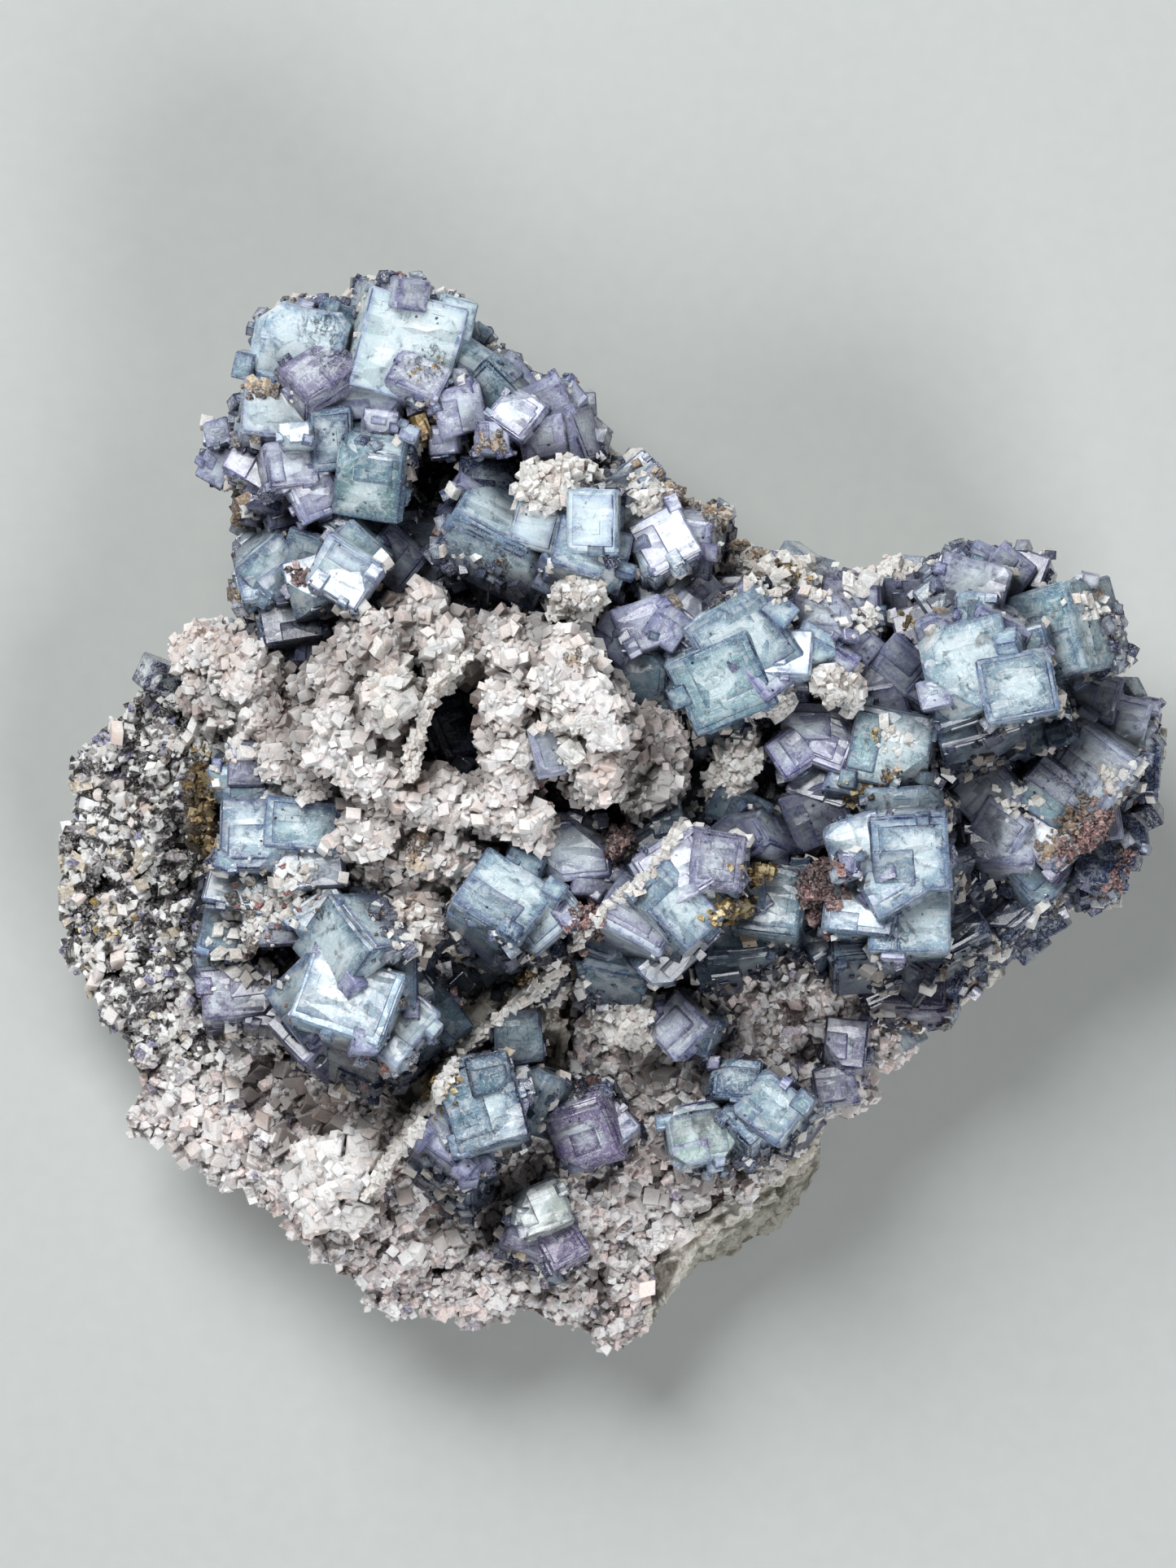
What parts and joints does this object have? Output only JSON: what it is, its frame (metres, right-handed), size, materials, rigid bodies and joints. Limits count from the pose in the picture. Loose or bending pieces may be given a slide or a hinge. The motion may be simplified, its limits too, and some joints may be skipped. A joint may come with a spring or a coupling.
{
  "type": "fluorite mineral specimen",
  "caption": "Hand-sized rock slab covered with milky blue and violet cubic fluorite crystals and sugary pinkish-white dolomite, lying on its flat back.",
  "frame": {"origin": "middle of the whole outline seen from above, at the level of the flat underside", "axes": "+X along the longest extent across the crystal face, +Y up the crystal face as in the picture, +Z out of the crystal face, upwards as it lies"},
  "size_m": [0.1382, 0.1347, 0.0507],
  "materials": {
    "blue_fluorite": "glassy crystal faces",
    "teal_fluorite": "glassy crystal faces",
    "violet_fluorite": "glassy crystal faces",
    "pink_dolomite": "sugary crystals",
    "white_dolomite": "sugary crystals",
    "pyrite": "metallic grains",
    "red_grains": "dark granular",
    "matrix": "rough broken rock"
  },
  "bodies": {
    "root": {"upper_lobe_fluorite": "blue_fluorite", "long_block_fluorite": "blue_fluorite", "left_ledge_fluorite": "blue_fluorite", "ridge_fluorite": "blue_fluorite", "right_lobe_fluorite": "teal_fluorite", "plate_fluorite": "teal_fluorite", "far_right_fluorite": "blue_fluorite", "middle_fluorite": "blue_fluorite", "front_fluorite": "blue_fluorite", "left_shelf_fluorite": "blue_fluorite", "pointed_fluorite": "blue_fluorite", "lower_shelf_fluorite": "blue_fluorite", "lower_blue_fluorite": "teal_fluorite", "purple_fluorite": "violet_fluorite", "milky_centre_fluorite": "violet_fluorite", "lower_pair_fluorite": "teal_fluorite", "lilac_fluorite": "violet_fluorite", "deep_purple_fluorite": "violet_fluorite", "grey_green_fluorite": "blue_fluorite", "hollow_fluorite": "blue_fluorite", "window_fluorite": "blue_fluorite", "upper_rim_fluorite": "blue_fluorite", "left_tip_fluorite": "blue_fluorite", "violet_block_fluorite": "blue_fluorite", "small_block_fluorite": "blue_fluorite", "apron_fluorite": "teal_fluorite", "layered_fluorite": "teal_fluorite", "dolomite_arch": "pink_dolomite", "pink_dolomite": "pink_dolomite", "dolomite_tuft_1": "white_dolomite", "dolomite_tuft_2": "white_dolomite", "dolomite_tuft_3": "white_dolomite", "dolomite_tuft_4": "white_dolomite", "pyrite_1": "pyrite", "pyrite_2": "pyrite", "pyrite_3": "pyrite", "red_patch_1": "red_grains", "red_patch_2": "red_grains", "red_patch_3": "red_grains", "rhomb_cluster": "pink_dolomite", "white_vein_1": "white_dolomite", "white_vein_2": "white_dolomite", "white_vein_3": "white_dolomite", "dolomite_crust": "white_dolomite", "matrix_rock": "matrix"}
  },
  "joints": []
}
